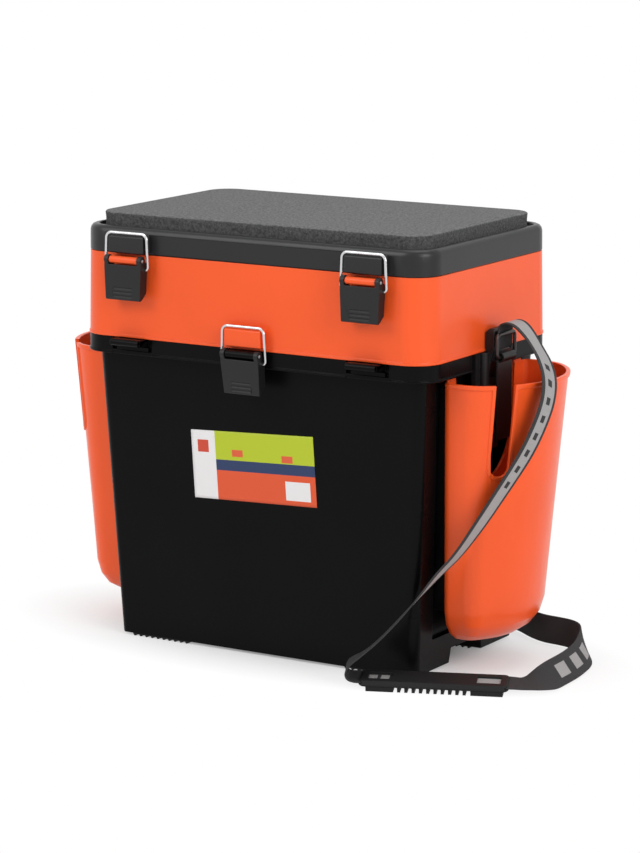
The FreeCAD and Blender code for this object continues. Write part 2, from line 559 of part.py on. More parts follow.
def make_shoulder_pad():
    """Rubber pad on the strap: slab with two windows, ten cross ribs and two end blocks below."""
    half, long = SPAD_W / 2, SPAD_L / 2
    slab = tapered((long - 1, half - 1.5, 5.0, 4.2), (long, half, 6.0, 5.2),
                   (long, half, 6.0, 6.6), (long - 2, half - 3.0, 4.0, 9.8))
    slab = slab.cut([box(s * 50 - 11, s * 50 + 11, -7, 7, 7.6, 14) for s in (-1, 1)])
    slab = slab.cut([box(s * long - 6, s * long + 6, -14.2, 14.2, 6.2, 8.0) for s in (-1, 1)])
    ribs = [box(x - 1.4, x + 1.4, -half + 0.6, half - 2, 0.0, 4.6)
            for x in (-31.4 + 6.69 * i for i in range(10))]
    blocks = [box(x0, x1, -half + 0.6, half - 2, 0.0, 4.6) for x0, x1 in ((-62, -36.5), (34.5, 64))]
    pad = slab.fuse(ribs + blocks)
    pad.rotate(V(0, -half + 0.6, 0), V(1, 0, 0), SPAD_TILT)
    pad.translate(V(long, 0, 0))
    pad.rotate(V(0, 0, 0), V(0, 0, 1), SPAD_DIR)
    pad.translate(V(SPAD_A[0], SPAD_A[1], 0))
    return pad


save("lower_bin", make_lower_bin())
save("grip_pads", make_grip_pads())
save("upper_section", make_upper_section())
save("lid", make_lid())
save("seat_pad", make_seat_pad())
for side, x, z, lean, bail_lean in (("left", -LATCH_X, LID_LATCH_Z, 0.0, 0.0),
                                    ("right", LATCH_X, LID_LATCH_Z, 0.0, 0.0),
                                    ("centre", 0.0, SEC_LATCH_Z, CENTRE_LEAN, CENTRE_BAIL_LEAN)):
    save("lever_" + side, make_lever(x, z, lean))
    save("bail_" + side, make_bail(x, z, lean, bail_lean))
    save("latch_pin_" + side, make_latch_pin(x, z))
save("lid_hinge_pins", hinge_pins(LID_HINGE_Z))
save("section_hinge_pins", hinge_pins(SEC_HINGE_Z))
pocket, lug, ring = make_pocket(), make_lug(), make_ring()
for name, shape in (("pocket", pocket), ("lug", lug), ("ring", ring)):
    save(name + "_right", shape)
    save(name + "_left", mirrored(shape))
save("pocket_screws", make_screws("pocket"))
save("lug_screws", make_screws("lug"))
save("strap_front", make_strap(STRAP_FRONT, "strap_front"))
save("strap_rear", make_strap(STRAP_REAR, "strap_rear"))
save("shoulder_pad", make_shoulder_pad())
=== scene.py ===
import bpy
import bmesh
import json
import math
import numpy as np
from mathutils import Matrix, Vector


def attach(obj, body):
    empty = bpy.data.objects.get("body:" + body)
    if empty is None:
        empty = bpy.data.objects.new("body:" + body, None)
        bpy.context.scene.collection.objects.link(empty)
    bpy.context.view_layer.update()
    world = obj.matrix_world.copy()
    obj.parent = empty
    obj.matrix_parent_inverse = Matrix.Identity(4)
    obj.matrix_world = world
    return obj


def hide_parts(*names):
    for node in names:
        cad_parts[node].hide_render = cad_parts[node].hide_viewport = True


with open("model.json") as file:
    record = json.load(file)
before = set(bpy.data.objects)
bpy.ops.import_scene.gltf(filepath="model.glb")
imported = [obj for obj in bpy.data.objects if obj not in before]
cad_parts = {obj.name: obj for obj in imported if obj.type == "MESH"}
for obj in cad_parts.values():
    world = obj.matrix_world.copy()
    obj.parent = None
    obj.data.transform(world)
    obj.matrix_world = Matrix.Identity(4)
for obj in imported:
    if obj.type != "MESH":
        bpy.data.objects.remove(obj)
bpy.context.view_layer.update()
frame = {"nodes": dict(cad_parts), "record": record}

nodes = frame["nodes"]
body_of = {n: b for b, names in frame["record"]["behaviour"]["bodies"].items() for n in names}

# Camera: a long lens, 31.5 degrees round from the front to the right and 11 degrees
# above the level of its target, which is the middle of the box.
view_from, view_at = (1.6591, -2.7006, 0.8198), (0.00433, 0.0, 0.2074)


def put(name, data):
    """A new object that shows data, at the scene's origin."""
    made = bpy.data.objects.new(name, data)
    bpy.context.scene.collection.objects.link(made)
    return made


def aim(thing, spot, target):
    """Stands a camera or lamp at spot, its own -Z axis along target minus spot."""
    thing.location = spot
    thing.rotation_mode = "QUATERNION"
    thing.rotation_quaternion = (Vector(target) - Vector(spot)).to_track_quat("-Z", "Y")


view = bpy.data.cameras.new("view")
view.lens, view.sensor_width, view.sensor_fit = 188.76, 36.0, "HORIZONTAL"
view.clip_end = 60.0
eye = put("view", view)
aim(eye, view_from, view_at)
bpy.context.scene.camera = eye

# Lower bin: one deep injection moulding in black polypropylene, glossy with faint flow
# marks. It stands on two runners; its rim carries the latch knuckle and the lug gaps.


def srgb(code):
    """Linear colour of a hex value: v / 12.92 up to 0.04045, else ((v + 0.055) / 1.055) ** 2.4."""
    v = np.array([int(code[i:i + 2], 16) for i in (0, 2, 4)]) / 255.0
    v = np.where(v <= 0.04045, v / 12.92, ((v + 0.055) / 1.055) ** 2.4)
    return (float(v[0]), float(v[1]), float(v[2]), 1.0)


def add(tree, kind, inputs=None, out=0, **settings):
    """One shader node with its settings; each input gets a value, or the output it is joined to."""
    node = tree.nodes.new(kind)
    for key, value in settings.items():
        setattr(node, key, value)
    for key, value in (inputs or {}).items():
        if isinstance(value, bpy.types.NodeSocket):
            tree.links.new(value, node.inputs[key])
        else:
            node.inputs[key].default_value = value
    return node.outputs[out]


def finish(name, colour, roughness, specular=0.5, metallic=0.0):
    """A plain material, its node tree, its shader and the piece's own coordinates."""
    material = bpy.data.materials.new(name)
    material.use_nodes = True
    tree = material.node_tree
    shader = tree.nodes["Principled BSDF"]
    for key, value in (("Base Color", srgb(colour)), ("Roughness", roughness),
                       ("Specular IOR Level", specular), ("Metallic", metallic)):
        shader.inputs[key].default_value = value
    return material, tree, shader, add(tree, "ShaderNodeTexCoord", out="Object")


def moulded(name, colour, roughness, specular, grain, cells=2500.0, shift=0.1):
    """Moulded plastic: its colour clouded by the fraction shift over about 110 mm, its gloss
    worn in patches of 40 mm, flow waves 70 mm long, and a grain 1 / cells wide and grain
    deep, in metres. A noise's scale is one over its size in metres."""
    cloud_scale, wear_scale, wave_scale, wave_depth = 9.0, 25.0, 14.0, 0.0004
    material, tree, shader, place = finish(name, colour, roughness, specular)
    flat = np.array(srgb(colour)[:3])
    cloud = add(tree, "ShaderNodeTexNoise", {"Vector": place, "Scale": cloud_scale, "Detail": 4.0})
    worn = add(tree, "ShaderNodeTexNoise", {"Vector": place, "Scale": wear_scale, "Detail": 2.0})
    tone = add(tree, "ShaderNodeMapRange", {"Value": cloud, "From Min": 0.35, "From Max": 0.65})
    colour = add(tree, "ShaderNodeMix", {0: tone, 6: (*(flat * (1 - shift)), 1.0),
                                         7: (*np.minimum(flat * (1 + shift), 1.0), 1.0)},
                 out=2, data_type="RGBA")
    gloss = add(tree, "ShaderNodeMapRange", {"Value": worn, "From Min": 0.3, "From Max": 0.7,
                                             "To Min": roughness - 0.02, "To Max": roughness + 0.03})
    waves = add(tree, "ShaderNodeTexNoise", {"Vector": place, "Scale": wave_scale, "Detail": 2.0})
    flow = add(tree, "ShaderNodeBump", {"Height": waves, "Distance": wave_depth, "Strength": 0.5})
    pores = add(tree, "ShaderNodeTexNoise", {"Vector": place, "Scale": cells, "Detail": 2.0})
    skin = add(tree, "ShaderNodeBump", {"Height": pores, "Distance": grain, "Normal": flow})
    for value, socket in ((colour, "Base Color"), (gloss, "Roughness"), (skin, "Normal")):
        tree.links.new(value, shader.inputs[socket])
    return material


def eased(node, material, width=0.0004, angle=32.0, joined=False):
    """A CAD part dressed for show: its facets merged and shaded smooth up to angle degrees,
    and its sharper edges rounded off by width metres, as a mould leaves them. joined makes
    each flat side one face, so that small grooves are rounded off cleanly."""
    same_point, same_plane = 2e-6, math.radians(0.3)
    work = bmesh.new()
    work.from_mesh(nodes[node].data)
    bmesh.ops.remove_doubles(work, verts=work.verts, dist=same_point)
    if joined:
        bmesh.ops.dissolve_limit(work, angle_limit=same_plane, verts=work.verts,
                                 edges=work.edges, delimit=set())
    mesh = bpy.data.meshes.new(node + "_skin")
    work.to_mesh(mesh)
    work.free()
    mesh.shade_smooth()
    mesh.set_sharp_from_angle(angle=math.radians(angle))
    piece = put(mesh.name, mesh)
    if width:
        ease = piece.modifiers.new("ease", "BEVEL")
        ease.width, ease.segments = width, 2
        ease.limit_method, ease.angle_limit = "ANGLE", math.radians(angle)
        ease.use_clamp_overlap = False
        ease.harden_normals = True
        ease.miter_outer = "MITER_ARC"
        even = piece.modifiers.new("even", "WEIGHTED_NORMAL")
        even.keep_sharp = True
    mesh.materials.append(material)
    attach(piece, body_of[node])
    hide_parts(node)
    return piece


# glossy black: nearly no colour of its own, so what shows is its soft shine at the edges
black_shell = moulded("glossy_black_polypropylene", "0A0A0B", 0.28, 0.07, 0.00002)
eased("lower_bin", black_shell, 0.0007)

# Grip pads: four rubber pads let in under the runner ends, with ridges across them
# that bite on ice. The ridge tips are what the box stands on.
# dull black: the rubber's skin scatters the light, so it has no clear shine
rubber = moulded("moulded_black_rubber", "1A1A1B", 0.62, 0.2, 0.00003, 1800.0)
eased("grip_pads", rubber, 0.0)

# Label: 0.12 mm printed film stuck slightly askew on the bin's front, with plain blocks
# of colour. Its corners are x and z from the top left, and it follows the wall's lean.
film_corners = np.array([[-0.0746, 0.2142], [0.0611, 0.2206], [0.0636, 0.1530], [-0.0725, 0.1481]])
film_thick, film_clear = 0.00012, 0.00022
bin_foot_z, bin_foot_y, bin_height, bin_lean = 0.0025, 0.0939, 0.2805, 0.0146


def sheet_mesh(name, points, uv=None, closed=False):
    """Quads between neighbouring rows and columns of a grid of points; closed joins the
    last column to the first."""
    rows, cols = points.shape[:2]
    r, c = np.meshgrid(np.arange(rows - 1), np.arange(cols if closed else cols - 1), indexing="ij")
    after = (c + 1) % cols
    this_row, next_row = r * cols, (r + 1) * cols
    quads = np.stack([this_row + c, this_row + after, next_row + after, next_row + c], -1)
    mesh = bpy.data.meshes.new(name)
    mesh.from_pydata(points.reshape(-1, 3).tolist(), [], quads.reshape(-1, 4).tolist())
    if uv is not None:
        if closed:
            uv = np.concatenate([uv, uv[:, :1]], 1)
        corner_uv = np.stack([uv[:-1, :-1], uv[:-1, 1:], uv[1:, 1:], uv[1:, :-1]], 2)
        layer = mesh.uv_layers.new(name="UVMap")
        layer.data.foreach_set("uv", corner_uv.reshape(-1, 2).ravel().tolist())
    mesh.shade_smooth()
    return mesh


def bin_wall_y(z):
    """Front wall of the bin, which leans out towards its rim in proportion to the height."""
    return -(bin_foot_y + (z - bin_foot_z) / bin_height * bin_lean)


u, v = np.meshgrid(np.linspace(0, 1, 41), np.linspace(0, 1, 25), indexing="ij")
top_left, top_right, low_right, low_left = film_corners
flat = (low_left * ((1 - u) * (1 - v))[..., None] + low_right * (u * (1 - v))[..., None]
        + top_right * (u * v)[..., None] + top_left * ((1 - u) * v)[..., None])
film = np.stack([flat[..., 0], bin_wall_y(flat[..., 1]) - film_clear, flat[..., 1]], -1)
label = put("label", sheet_mesh("label", film[:, ::-1], np.stack([u, v], -1)[:, ::-1]))
# coated film: smooth and even, with a mild shine over flat inks
printed_film, tree, shader, place = finish("printed_film", "E2E0E0", 0.35, 0.3)
parts = add(tree, "ShaderNodeSeparateXYZ", {0: add(tree, "ShaderNodeUVMap", uv_map="UVMap")})
label_u, label_v = parts, parts.node.outputs[1]


def inside(u0, u1, v0, v1):
    """1 inside a rectangle of the label, else 0: the product of four comparisons."""
    mask = 1.0
    for value, limit, test in ((label_u, u0, "GREATER_THAN"), (label_u, u1, "LESS_THAN"),
                               (label_v, v0, "GREATER_THAN"), (label_v, v1, "LESS_THAN")):
        passed = add(tree, "ShaderNodeMath", {0: value, 1: limit}, operation=test)
        mask = add(tree, "ShaderNodeMath", {0: mask, 1: passed}, operation="MULTIPLY")
    return mask


# each block's ink, and the part of the film that it covers: left, right, bottom and top
ink = srgb("E6E4E4")
for tone, area in (("B4C32A", (0.195, 1.01, 0.585, 1.01)), ("2B3A60", (0.195, 1.01, 0.43, 0.585)),
                   ("DD5630", (0.195, 1.01, -0.01, 0.43)), ("E6E4E4", (0.755, 0.955, 0.07, 0.34)),
                   ("D9603A", (0.33, 0.42, 0.64, 0.74)), ("D9603A", (0.735, 0.825, 0.60, 0.70)),
                   ("CB4A35", (0.05, 0.14, 0.68, 0.86))):
    ink = add(tree, "ShaderNodeMix", {0: inside(*area), 6: ink, 7: srgb(tone)}, out=2,
              data_type="RGBA")
tree.links.new(ink, shader.inputs["Base Color"])
tooth = add(tree, "ShaderNodeTexNoise", {"Vector": place, "Scale": 900.0, "Detail": 2.0})
tree.links.new(add(tree, "ShaderNodeBump", {"Height": tooth, "Distance": 0.00002}),
               shader.inputs["Normal"])
label.data.materials.append(printed_film)
backing = label.modifiers.new("film", "SOLIDIFY")
backing.thickness, backing.offset = film_thick, 0.0
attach(label, "bin")

# Upper section: the orange tray, its floor and locating lip moulded in one piece of
# polypropylene, with the lid latches' knuckles and a keeper boss on its front.
# clear bright orange, whose broad soft shine hardly pales it
orange_shell = moulded("orange_polypropylene", "F35A25", 0.30, 0.30, 0.00002, shift=0.03)
eased("upper_section", orange_shell, 0.0006)

# Lid: charcoal polypropylene with a fine spark-eroded grain, a low lip round the seat
# and ribs beneath.
# the grain spreads the light, so the lid looks greyer than the bin
charcoal = moulded("grained_charcoal_polypropylene", "1E1E1F", 0.32, 0.32, 0.00004, 2200.0, 0.06)
eased("lid", charcoal, 0.0009)

# Seat: a slab of closed-cell polyethylene foam, die cut, with a speckled light skin and
# darker cut sides, its top painted paler still as a sheen, its middle crowned by 1.6 mm.
foam_half, foam_z, foam_t = (0.179, 0.1095, 0.024), 0.4005, 0.0152
foam_edge, foam_crown, foam_bulge = 0.0016, 0.0016, 0.0006
foam_gap, foam_foot, crown_reach = 0.0003, 0.0006, 0.03


def rounded_ring(hx, hy, r, z, turns=14, run=40):
    """Rounded rectangle of half sides hx, hy: quarter arcs of radius r, joined by even steps."""
    angles = np.linspace(0, np.pi / 2, turns) + (np.arange(4) * np.pi / 2)[:, None]
    centres = np.array([(1, 1), (-1, 1), (-1, -1), (1, -1)]) * [hx - r, hy - r]
    arcs = centres[:, None, :] + r * np.stack([np.cos(angles), np.sin(angles)], -1)
    t = np.linspace(0, 1, run + 1)[1:-1, None]
    sides = arcs[:, -1:, :] * (1 - t) + np.roll(arcs, -1, 0)[:, :1, :] * t
    ring = np.concatenate([arcs, sides], 1).reshape(-1, 2)
    return np.c_[ring, np.full(len(ring), z)]


def capped(rings):
    """Closed rings from pole to pole: one more row at each end, gathered in its ring's middle."""
    first, last = rings[:1], rings[-1:]
    return np.concatenate([np.broadcast_to(first.mean(1, keepdims=True), first.shape), rings,
                           np.broadcast_to(last.mean(1, keepdims=True), last.shape)])


def weld(mesh):
    """Merges a mesh's doubles, which closes its seam and poles, and turns its faces outwards."""
    work = bmesh.new()
    work.from_mesh(mesh)
    bmesh.ops.remove_doubles(work, verts=work.verts, dist=1e-6)
    bmesh.ops.recalc_face_normals(work, faces=work.faces)
    work.to_mesh(mesh)
    work.free()
    mesh.shade_smooth()


climb = np.linspace(0, 1, 9)[1:]
turn = np.linspace(0, math.pi / 2, 5)[1:]
inward = np.linspace(0.006, 0.095, 14)
# rows of the slab's profile, each a distance in from the CAD outline and a height: the
# underside, the side that pulls in and out a little, the eased edge and the crowned top
side_top, least_corner = foam_t - foam_edge, 0.008
rows = [np.array([[0.030, 0.0], [0.010, 0.0], [0.0012, 0.0001], [0.0004, foam_foot]]),
        np.c_[foam_gap + foam_bulge * np.sin(math.pi * climb),
              foam_foot + climb * (side_top - foam_foot)],
        np.c_[foam_gap + foam_edge * (1 - np.cos(turn)), side_top + foam_edge * np.sin(turn)],
        np.c_[inward, foam_t + foam_crown * (1 - np.exp(-inward / crown_reach))]]
rings = np.stack([rounded_ring(foam_half[0] - d, foam_half[1] - d,
                               max(foam_half[2] - d, least_corner), foam_z + up)
                  for d, up in np.concatenate(rows)])
mesh = sheet_mesh("seat_foam", capped(rings), closed=True)
weld(mesh)
seat = put("seat_foam", mesh)
# matt foam: mottling 2.4 mm across over cells of 0.7 mm; faces turned up are paler than the cut sides,
# partly the skin's own tone and partly a painted sheen
mottle_scale, cell_scale = 420.0, 1500.0
foam_skin, tree, shader, place = finish("closed_cell_foam", "666666", 0.95, 0.1)
cell = add(tree, "ShaderNodeTexNoise", {"Vector": place, "Scale": cell_scale, "Detail": 3.0})
spot = add(tree, "ShaderNodeTexNoise", {"Vector": place, "Scale": mottle_scale, "Detail": 4.0})
up = add(tree, "ShaderNodeSeparateXYZ", {0: add(tree, "ShaderNodeNewGeometry", out="Normal")}, out=2)
# painted sheen: the more a face turns upwards, the more it takes the paler top tone, beyond the skin's
# own colour
sheen_facing_up = add(tree, "ShaderNodeMapRange", {"Value": up, "From Min": 0.4, "From Max": 0.9})
mottle = add(tree, "ShaderNodeMapRange", {"Value": spot, "From Min": 0.34, "From Max": 0.66})
side_tone = add(tree, "ShaderNodeMix", {0: mottle, 6: srgb("404040"), 7: srgb("5C5C5C")}, out=2,
                data_type="RGBA")
skin_and_sheen_tone = add(tree, "ShaderNodeMix", {0: mottle, 6: srgb("5D5D5D"), 7: srgb("7F7F7F")}, out=2,
               data_type="RGBA")
tone = add(tree, "ShaderNodeMix", {0: sheen_facing_up, 6: side_tone, 7: skin_and_sheen_tone}, out=2, data_type="RGBA")
# pale walls between the cells, then painted shade in the open cells
for low, high, most, colour in ((0.60, 0.68, 0.35, "929292"), (0.42, 0.34, 0.5, "242424")):
    fleck = add(tree, "ShaderNodeMapRange", {"Value": cell, "From Min": low, "From Max": high,
                                             "To Max": most})
    tone = add(tree, "ShaderNodeMix", {0: fleck, 6: tone, 7: srgb(colour)}, out=2, data_type="RGBA")
tree.links.new(tone, shader.inputs["Base Color"])
rough = add(tree, "ShaderNodeBump", {"Height": spot, "Distance": 0.0008, "Strength": 0.6})
tree.links.new(add(tree, "ShaderNodeBump", {"Height": cell, "Distance": 0.0006, "Strength": 0.8,
                                            "Normal": rough}), shader.inputs["Normal"])
mesh.materials.append(foam_skin)
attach(seat, "lid")
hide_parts("seat_pad")

# Draw latches: three alike. A glass-filled nylon lever turns on a steel pin in a
# knuckle, and a bright wire bail in its ears closes over the boss above.
# satin black: a soft, even shine along the lever's edges
satin_nylon = moulded("satin_black_nylon", "1A1A1B", 0.42, 0.3, 0.00003, 2400.0)


def drawn(name, colour, roughness, metallic=1.0):
    """Drawn wire or rod: bare metal whose gloss changes in patches of a millimetre or two.
    The roughness runs from 0.05 under the given one to 0.08 over it, with the noise."""
    material, tree, shader, place = finish(name, colour, roughness, 0.5, metallic)
    patch = add(tree, "ShaderNodeTexNoise", {"Vector": place, "Scale": 700.0, "Detail": 3.0})
    gloss = add(tree, "ShaderNodeMapRange", {"Value": patch, "From Min": 0.3, "From Max": 0.7,
                                             "To Min": roughness - 0.05, "To Max": roughness + 0.08})
    tree.links.new(gloss, shader.inputs["Roughness"])
    tree.links.new(add(tree, "ShaderNodeBump", {"Height": patch, "Distance": 0.000006}),
                   shader.inputs["Normal"])
    return material


# bright plating that mirrors the white room; the pins are bare and greyer
nickel_wire = drawn("nickelled_steel_wire", "CFCFD1", 0.2)
pin_steel = drawn("drawn_steel", "9C9C9E", 0.36)
for side in ("left", "right", "centre"):
    eased("lever_" + side, satin_nylon, 0.0004, joined=True)
    eased("bail_" + side, nickel_wire, 0.0)
    eased("latch_pin_" + side, pin_steel, 0.0)

# Rear hinges: straight steel pins, two between the bin and the upper section and two
# between that and the lid.
eased("lid_hinge_pins", pin_steel, 0.0)
eased("section_hinge_pins", pin_steel, 0.0)

# Hanging pockets: tubs in the tray's orange plastic on the box's ends, each with a slot
# in its front shoulder, held by two screws through its stand-off rails, painted near-black as shade.
pocket_shell = moulded("orange_polypropylene_rails_in_painted_shade", "F35A25", 0.30, 0.30, 0.00002,
                       shift=0.03)
tree = pocket_shell.node_tree
shader = tree.nodes["Principled BSDF"]
spot = add(tree, "ShaderNodeSeparateXYZ", {0: add(tree, "ShaderNodeTexCoord", out="Object")})
# the tub's back leans out from x 176.5 mm at z 28.5 to 182.5 at z 278.5; the rails lie behind it, and all
# behind it is painted near-black as the shade between tub and bin
back_slope, back_foot = 0.024, 0.1755
lean_out = add(tree, "ShaderNodeMath", {0: spot.node.outputs[2], 1: back_slope, 2: back_foot},
               operation="MULTIPLY_ADD")
depth = add(tree, "ShaderNodeMath", {0: spot}, operation="ABSOLUTE")
rail_in_shade = add(tree, "ShaderNodeMath", {0: depth, 1: lean_out}, operation="LESS_THAN")
orange = shader.inputs["Base Color"].links[0].from_socket
# painted shade: the rails behind the tub's back take near-black in place of orange
tree.links.new(add(tree, "ShaderNodeMix", {0: rail_in_shade, 6: orange, 7: srgb("0E0E0F")}, out=2,
                   data_type="RGBA"), shader.inputs["Base Color"])
eased("pocket_left", pocket_shell, 0.0006)
eased("pocket_right", pocket_shell, 0.0006)
eased("pocket_screws", pin_steel, 0.0)

# Strap lugs and rings: black nylon lugs screwed to the ends, in the gaps of the rim,
# with a blackened wire ring standing in each.
# dark metal: brownish black with a narrow bright line along the wire
black_steel = drawn("blackened_steel_wire", "4A4646", 0.35, 0.8)
for side in ("left", "right"):
    eased("lug_" + side, satin_nylon, 0.0005)
    eased("ring_" + side, black_steel, 0.0)
eased("lug_screws", pin_steel, 0.0)

# Shoulder strap: one length of woven polyester webbing from ring to ring, printed on one
# face. It drops from the right ring to the floor, folds back under the pad, turns behind
# the box and climbs to the left ring. The route's points are those of the CAD tube.
web_route = np.array([
    (205, 0, 302), (205, 0, 312), (205.3, 0, 321), (206.3, 0, 325), (212, 0, 327.5), (221, 0, 325.5),
    (230.5, -1, 317), (240, -4, 307), (253, -12, 296), (265, -24, 281), (268, -33, 262),
    (263, -40, 240), (255, -50, 215), (240, -66, 183), (225, -76, 155), (207, -89, 123),
    (193, -99, 106), (178, -110.5, 84), (164, -121, 64), (150, -130.5, 46), (138, -139.5, 33),
    (126.2, -146, 24.5), (121.3, -145.9, 16.5), (122.3, -145, 11.2), (127.4, -142.2, 9.4),
    (133.0, -139.0, 9.4), (260.95, -87.3, 9.8), (273, -82, 8.8), (283, -69, 9.6), (285, -46, 12.4),
    (284.5, -17, 12.8), (281, 7, 12.8), (276, 30, 12.8), (266, 53, 13.9), (254, 71, 14.4),
    (240, 82, 14.8), (222, 86.5, 14.9), (203, 88, 14.9), (184, 98, 15), (160, 113, 14.9),
    (130, 125, 13.4), (103, 130, 10.6), (40, 134, 1.4), (-30, 134, 1.3), (-95, 131, 1.5),
    (-150, 130, 20), (-190, 124, 44), (-216, 116, 88), (-234, 106, 140), (-248, 93, 190),
    (-260, 76, 236), (-262, 55, 273), (-250, 34, 302), (-236, 16, 322), (-225, 5, 331),
    (-213.5, 1, 334), (-206.6, 0, 328), (-205.3, 0, 321), (-205, 0, 312), (-205, 0, 302)]) / 1000.0
web_width, web_thick, web_step, web_blur = 0.028, 0.0015, 0.002, 7
# direction of the webbing's width at points of the route, each by its place in the list
web_lean = {0: (0, 1, 0), 5: (0, 1, 0), 7: (0, 0.97, -0.24), 12: (0, 0.95, -0.25),
            14: (-0.05, 0.96, -0.2), 16: (-0.25, 0.93, -0.2), 17: (-0.40, 0.90, -0.15),
            18: (-0.45, 0.88, -0.14),
            20: (-0.45, 0.88, -0.14), 21: (-0.49, 0.87, 0), 22: (-0.49, 0.87, 0), 23: (-0.43, 0.90, 0.05),
            24: (-0.370, 0.916, 0.156), 26: (-0.370, 0.916, 0.156), 27: (-0.37, 0.92, 0.08),
            28: (-0.6, 0.7, 0.35), 29: (-0.6, 0, 0.8), 32: (-0.6, 0, 0.8), 33: (-0.5, 0.1, 0.86),
            34: (-0.3, 0.15, 0.94), 35: (-0.1, 0.1, 0.99), 36: (0, 0, 1), 38: (0, 0, 1),
            40: (-0.2, -0.4, 0.88), 41: (-0.1, -0.8, 0.6), 42: (0, -1, 0), 59: (0, -1, 0)}


def smooth_line(points, step):
    """Distances and points, step apart, along the quadratic NURBS curve controlled by points."""
    data = bpy.data.curves.new("line", "CURVE")
    data.dimensions = "3D"
    spline = data.splines.new("NURBS")
    spline.points.add(len(points) - 1)
    spline.points.foreach_set("co", np.c_[points, np.ones(len(points))].ravel())
    spline.order_u, spline.use_endpoint_u, spline.resolution_u = 3, True, 12
    holder = put("line", data)
    mesh = bpy.data.meshes.new_from_object(holder)
    co = np.empty(len(mesh.vertices) * 3)
    mesh.vertices.foreach_get("co", co)
    co = co.reshape(-1, 3)
    bpy.data.objects.remove(holder)
    bpy.data.curves.remove(data)
    bpy.data.meshes.remove(mesh)
    reach = np.r_[0, np.cumsum(np.linalg.norm(np.diff(co, axis=0), axis=1))]
    keep = np.r_[True, np.diff(reach) > 1e-9]
    reach, co = reach[keep], co[keep]
    s = np.linspace(0, reach[-1], int(reach[-1] / step) + 1)
    return s, np.stack([np.interp(s, reach, co[:, i]) for i in range(3)], 1)


web_s, web_line = smooth_line(web_route, web_step)
along = np.gradient(web_line, axis=0)
along /= np.linalg.norm(along, axis=1)[:, None]
apart = np.linalg.norm(web_line[:, None] - web_route[list(web_lean)], axis=2)
marks = web_s[np.argmin(apart, axis=0)]
lean = np.array(list(web_lean.values()), float)
wide = np.stack([np.interp(web_s, marks, lean[:, i]) for i in range(3)], 1)
# the turns between the leans are eased over web_blur steps to each side
window = np.hanning(2 * web_blur + 1) / np.hanning(2 * web_blur + 1).sum()
wide = np.stack([np.convolve(np.pad(wide[:, i], web_blur, mode="edge"), window, "valid")
                 for i in range(3)], 1)
wide -= (wide * along).sum(1)[:, None] * along
wide /= np.linalg.norm(wide, axis=1)[:, None]
out = np.cross(along, wide)
# cross-section, 28 by 1.5 mm with rounded edges, carried along the line
half_t = web_thick / 2
a = np.linspace(-1, 1, 13)
face = np.stack([a * (web_width / 2 - half_t), np.full(13, half_t)], -1)
edge = np.array([[web_width / 2 - 0.3 * half_t, 0.7 * half_t], [web_width / 2, 0.0],
                 [web_width / 2 - 0.3 * half_t, -0.7 * half_t]])
loop = np.concatenate([face, edge, face[::-1] * [1, -1], edge[::-1] * [-1, 1]])
skin = capped(web_line[:, None] + wide[:, None] * loop[None, :, :1]
              + out[:, None] * loop[None, :, 1:])
across = np.broadcast_to(0.5 + loop[:, 0] / web_width, skin.shape[:2])
run = np.broadcast_to(np.r_[web_s[0], web_s, web_s[-1]][:, None], skin.shape[:2])
uv = np.stack([run, across], -1)
web_mesh = sheet_mesh("strap", skin, uv, True)
printed = np.broadcast_to((loop[:, 1] > 0).astype(float), skin.shape[:2])
mark = web_mesh.attributes.new("printed", "FLOAT", "POINT")
mark.data.foreach_set("value", printed.ravel())
weld(web_mesh)
# Plain weave, its picks 1.1 mm apart and 22 ribs across, which takes the shine off. The
# print is a grey band with small dark blocks, then bare black webbing with grey blocks.
pick_pitch, web_ribs = 0.0011, 22
webbing, tree, shader, place = finish("woven_polyester_webbing", "1E1E1F", 0.8, 0.2)
parts = add(tree, "ShaderNodeSeparateXYZ", {0: add(tree, "ShaderNodeUVMap", uv_map="UVMap")})
web_u, web_v = parts, parts.node.outputs[1]
front = add(tree, "ShaderNodeAttribute", out="Fac", attribute_name="printed")
offset = add(tree, "ShaderNodeMath", {0: web_v, 1: 0.5}, operation="SUBTRACT")
centre = add(tree, "ShaderNodeMath", {0: offset}, operation="ABSOLUTE")


def dashes(pitch, start, stop, reach, first, last):
    """1 in blocks start..stop of each pitch along the webbing, up to reach from its middle,
    between first and last metres of its length; else 0."""
    beat = add(tree, "ShaderNodeMath", {0: add(tree, "ShaderNodeMath", {0: web_u, 1: 1.0 / pitch},
                                               operation="MULTIPLY")}, operation="FRACT")
    mask = front
    for value, limit, test in ((beat, start, "GREATER_THAN"), (beat, stop, "LESS_THAN"),
                               (centre, reach, "LESS_THAN"), (web_u, first, "GREATER_THAN"),
                               (web_u, last, "LESS_THAN")):
        passed = add(tree, "ShaderNodeMath", {0: value, 1: limit}, operation=test)
        mask = add(tree, "ShaderNodeMath", {0: mask, 1: passed}, operation="MULTIPLY")
    return mask


thread = add(tree, "ShaderNodeTexNoise", {"Vector": place, "Scale": 2400.0, "Detail": 2.0})
dark = add(tree, "ShaderNodeMix", {0: thread, 6: srgb("212122"), 7: srgb("494849")}, out=2,
           data_type="RGBA")
light = add(tree, "ShaderNodeMix", {0: thread, 6: srgb("858383"), 7: srgb("BDBBBB")}, out=2,
            data_type="RGBA")
